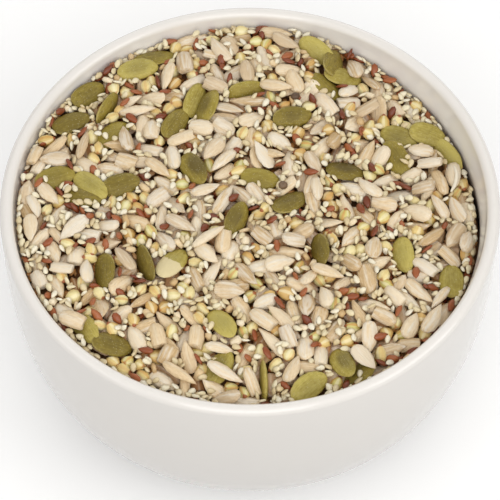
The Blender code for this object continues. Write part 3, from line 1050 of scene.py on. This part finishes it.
def place_seed(heap, kind, draw, place, heading, lean, proud, mark=0.0):
    """Lay one seed at its own place, sunk until it stands proud by no more than asked.

    Where it meets the wall, it is moved inwards in small steps."""
    x = place[0] / 1000
    y = place[1] / 1000
    depth = HEIGHT - heap_height(x, y, heap.settings)
    y += (depth - READ_DEPTH) / math.tan(VIEW_ELEVATION)
    heading = math.radians(heading)
    lean = math.radians(lean)
    for _ in range(NUDGES):
        pose = drop(heap, kind, draw, (x, y), heading, lean, PLACED_SINK, proud, PRESS_ANY)
        if pose:
            heap.lay(pose)
            kind.copy(draw, pose, min(pose.over, proud), mark)
            return pose.rest
        x *= NUDGE
        y *= NUDGE
    raise RuntimeError(f"no room for one of the {kind.name} at {place}")


def lay_pumpkin_seeds(heap, kind, draw, covered):
    """Lay the pumpkin seeds in their own places, and keep the open ones from being covered."""
    for x, y, heading, lean, state in PUMPKIN_PLACES:
        if (state == COVERED) != covered:
            continue
        mark = VEILED_MARK if state == VEILED else 0.0
        rest = place_seed(heap, kind, draw, (x, y), heading, lean, PUMPKIN_PROUD, mark)
        if not covered:
            heap.kept[rest.rows, rest.columns] = True
        if state == VEILED:
            heap.kept[rest.rows, rest.columns - FRONT_CELLS] = True


def seed_kinds():
    """Every kind of seed, with its shapes."""
    shares = [share for *_, share in KERNELS]
    return {
        "sunflower": Kind("sunflower_kernels", sunflower_shapes(), SUNFLOWER_SIZE, 0.13, 0.08, shares, 0.16),
        "pumpkin": Kind("pumpkin_seeds", [pumpkin_shape()], PUMPKIN_SIZE, 0.06, 0.06),
        "buckwheat": Kind("buckwheat_groats", [buckwheat_shape()], BUCKWHEAT_SIZE, 0.12, 0.03),
        "sesame": Kind("sesame_seeds", [loft("sesame", SESAME_SIZE)], SESAME_SIZE, 0.12, 0.05),
        "flax": Kind("flax_seeds", [loft("flax", FLAX_SIZE)], FLAX_SIZE, 0.10, 0.04),
        "crumb": Kind("kernel_crumbs", [crumb_shape()], CRUMB_SIZE, 0.30, 0.05),
        "dark": Kind("dark_round_seeds", [loft("dark", DARK_SEED_SIZE)], DARK_SEED_SIZE, 0.05, 0.02),
        "husk": Kind("pale_husks", [loft("husk", HUSK_SIZE)], HUSK_SIZE, 0.10, 0.28),
    }


# The lists of pours have these columns: kind, seeds tried, low spots looked at and tries for each, how far
# it may stand over the mean surface and how far it may be pressed down to that, the share that stands on
# edge, how much of it may lie over an open pumpkin seed, and wall_spot for what lies beside the wall.

def filling_pours(settings):
    """The lower layers, each a little higher than the one before."""
    step = settings.filling // LAYERS
    rows = []
    for layer in range(LAYERS):
        proud = FIRST_LAYER + layer * LAYER_RISE
        rows += [
            ("sunflower", step, 3, 3, proud, 0.0, 0.2, 1.0),
            ("buckwheat", step // 2, 4, 2, proud, 0.0, 1.0, 1.0),
            ("sesame", step, 5, 2, proud, 0.0, 0.1, 1.0),
            ("flax", step // 6, 5, 2, proud, 0.0, 0.1, 1.0),
            ("sunflower", 16, 3, 2, proud, 0.0, 0.1, 1.0, wall_spot),
            ("sesame", 110, 3, 2, proud, 0.0, 0.1, 1.0, wall_spot)]
    return rows


def middle_pours(settings):
    """What lies between the covered and the open pumpkin seeds."""
    return [("sesame", settings.sesame // 4, 8, 2, -0.0012, 0.0, 0.1, 1.0)]


def top_pours(settings):
    """What lies around and between the open pumpkin seeds, from the larger seeds to the smallest."""
    half_kernels = settings.kernels // 2
    half_groats = settings.groats // 2
    return [
        ("sunflower", half_kernels, 6, 5, 0.0004, 0.0008, 0.12, 0.05),
        ("buckwheat", 32, 3, 3, 0.0006, 0.0016, 1.0, 0.1, wall_spot),
        ("sunflower", 20, 3, 3, 0.0008, 0.0006, 0.2, 0.1, wall_spot),
        ("flax", 24, 2, 2, 0.0006, 0.0004, 0.1, 0.1, wall_spot),
        ("sesame", 150, 3, 2, 0.0005, 0.0, 0.1, 0.1, wall_spot),
        ("buckwheat", half_groats, 8, 3, 0.0005, 0.0018, 1.0, 0.1),
        ("sunflower", half_kernels, 6, 5, 0.0018, 0.0008, 0.10, 0.06),
        ("sunflower", settings.kernels // 12, 2, 2, 0.0032, 0.0006, 0.20, 0.06),
        ("flax", settings.flax * 3 // 5, 5, 2, 0.0011, 0.0009, 0.15, 0.1),
        ("buckwheat", half_groats, 5, 3, 0.0014, 0.0022, 1.0, 0.1),
        ("crumb", settings.crumbs, 6, 2, 0.0006, 0.0004, 0.5, 0.1),
        ("sesame", settings.sesame, 10, 2, 0.0008, 0.0, 0.10, 0.12),
        ("sesame", settings.sesame // 24, 1, 2, 0.0020, 0.0, 0.10, 0.6)]


# Operators

class SEEDMIX_OT_bowl(bpy.types.Operator):
    """Turn the glazed bowl, with its round lip and low foot ring"""

    bl_idname = "seedmix.bowl"
    bl_label = "Bowl"

    def execute(self, context):
        settings = context.scene.bowl_settings
        bowl = turn_profile("glazed_bowl", bowl_profile(settings.lip / 2))
        porcelain(settings).dress(bowl)
        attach(bowl, "root")
        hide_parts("bowl")
        return {'FINISHED'}


class SEEDMIX_OT_bed(bpy.types.Operator):
    """Shape the body of deep seeds that the loose ones lie on, dark with painted shade"""

    bl_idname = "seedmix.bed"
    bl_label = "Deep seeds"

    def execute(self, context):
        settings = context.scene.mix_settings
        profile = core_profile()
        top = profile[0][1]
        bed = turn_profile("deep_seeds", profile)
        for vertex in bed.data.vertices:
            if vertex.co.z > top - SAME_PLACE:
                vertex.co.z = core_height(vertex.co.x, vertex.co.y, settings)
        painted_shade_bed_finish().dress(bed)
        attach(bed, "root")
        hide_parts("seed_mix")
        return {'FINISHED'}


class SEEDMIX_OT_seeds(bpy.types.Operator):
    """Lay the loose seeds one by one, from the lower layers up to the few that lie in the open"""

    bl_idname = "seedmix.seeds"
    bl_label = "Loose seeds"

    def execute(self, context):
        settings = context.scene.mix_settings
        draw = random.Random(RANDOM_SEED)
        heap = Heap(settings)
        kinds = seed_kinds()
        pour_all(heap, kinds, draw, filling_pours(settings))
        lay_pumpkin_seeds(heap, kinds["pumpkin"], draw, True)
        pour_all(heap, kinds, draw, middle_pours(settings))
        lay_pumpkin_seeds(heap, kinds["pumpkin"], draw, False)
        pour_all(heap, kinds, draw, top_pours(settings))
        for name, x, y, heading, lean, proud in OPEN_PLACES:
            place_seed(heap, kinds[name], draw, (x, y), heading, lean, proud)

        skin = seed_skin_group()
        for name, kind in kinds.items():
            piece = kind.build(seed_finish(skin, *SEED_LOOKS[name]))
            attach(piece, "root")
            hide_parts("seed_mix")
        return {'FINISHED'}


class SEEDMIX_OT_stage(bpy.types.Operator):
    """Set the floor, the soft lights and the camera"""

    bl_idname = "seedmix.stage"
    bl_label = "Stage"

    def execute(self, context):
        settings = context.scene.stage_settings
        self.lay_floor(settings)
        self.light_world(context)
        self.hang_lamps(context)
        self.set_camera(context, settings)
        context.scene.view_settings.view_transform = 'Standard'
        return {'FINISHED'}

    def lay_floor(self, settings):
        """A pale floor that glows a little to the camera and throws back only a share of the light."""
        deselect_all()
        bpy.ops.mesh.primitive_plane_add(size=FLOOR_SIZE, location=(0, 0, 0))
        floor = bpy.context.object
        floor.name = "floor"
        finish = Finish("pale_floor", 0.7)
        tree = finish.tree
        pale = tuple(settings.floor)
        duller = tuple(value * 0.985 for value in pale)
        seen = mix(tree, noise(tree, object_place(tree), 3.0, 2.0), pale, duller)
        bounced = add_node(tree, "LightPath").outputs["Is Diffuse Ray"]
        finish.set("Base Color", mix(tree, bounced, seen, (settings.bounce,) * 3))
        finish.set("Emission Color", mix(tree, bounced, (1.0, 1.0, 1.0), (0.0, 0.0, 0.0)))
        finish.set("Emission Strength", FLOOR_GLOW)
        finish.dress(floor)

    def light_world(self, context):
        """Warm white all round, softer on the bowl than it looks to the camera."""
        world = bpy.data.worlds.new("studio")
        context.scene.world = world
        world.use_nodes = True
        tree = world.node_tree
        background = tree.nodes["Background"].inputs
        seen = add_node(tree, "LightPath").outputs["Is Camera Ray"]
        brighter = times(tree, seen, 1.0 - WORLD_STRENGTH)
        feed(tree, plus(tree, brighter, WORLD_STRENGTH), background["Strength"])
        feed(tree, (1.0, 0.99, 0.97), background["Color"])

    def hang_lamps(self, context):
        for name, place, size, power in LAMPS:
            lamp = bpy.data.lights.new(name, 'AREA')
            lamp.shape = 'SQUARE'
            lamp.size = size
            lamp.energy = power
            thing = bpy.data.objects.new(name, lamp)
            context.scene.collection.objects.link(thing)
            thing.location = place
            thing.visible_camera = False
            aim = Vector((0, 0, HEIGHT)) - Vector(place)
            thing.rotation_euler = aim.to_track_quat('-Z', 'Y').to_euler()

    def set_camera(self, context, settings):
        camera = bpy.data.cameras.new("camera")
        camera.lens = settings.lens
        camera.sensor_width = SENSOR_WIDTH
        camera.clip_start = NEAREST_SEEN
        thing = bpy.data.objects.new("camera", camera)
        context.scene.collection.objects.link(thing)
        rise = settings.elevation
        thing.location = (
            0.0, -settings.distance * math.cos(rise), HEIGHT + settings.distance * math.sin(rise))
        thing.rotation_euler = Euler((math.pi / 2 - rise - settings.dip, 0.0, 0.0))
        context.scene.camera = thing


class SEEDMIX_PT_panel(bpy.types.Panel):
    """Lists the pieces of the bowl of seed mix"""

    bl_idname = "SEEDMIX_PT_panel"
    bl_label = "Seed mix"
    bl_space_type = 'VIEW_3D'
    bl_region_type = 'UI'
    bl_category = "Seed mix"

    def draw(self, context):
        scene = context.scene
        for settings in (scene.bowl_settings, scene.mix_settings, scene.stage_settings):
            for name in settings.__annotations__:
                self.layout.prop(settings, name)
        for operator in OPERATORS:
            self.layout.operator(operator.bl_idname)


OPERATORS = (SEEDMIX_OT_bowl, SEEDMIX_OT_bed, SEEDMIX_OT_seeds, SEEDMIX_OT_stage)
CLASSES = (BowlSettings, MixSettings, StageSettings, *OPERATORS, SEEDMIX_PT_panel)


def register():
    for thing in CLASSES:
        bpy.utils.register_class(thing)
    bpy.types.Scene.bowl_settings = bpy.props.PointerProperty(type=BowlSettings)
    bpy.types.Scene.mix_settings = bpy.props.PointerProperty(type=MixSettings)
    bpy.types.Scene.stage_settings = bpy.props.PointerProperty(type=StageSettings)


def unregister():
    del bpy.types.Scene.bowl_settings
    del bpy.types.Scene.mix_settings
    del bpy.types.Scene.stage_settings
    for thing in reversed(CLASSES):
        bpy.utils.unregister_class(thing)


def main():
    register()
    bpy.ops.seedmix.bowl()
    bpy.ops.seedmix.bed()
    bpy.ops.seedmix.seeds()
    bpy.ops.seedmix.stage()


if __name__ == "__main__":
    main()
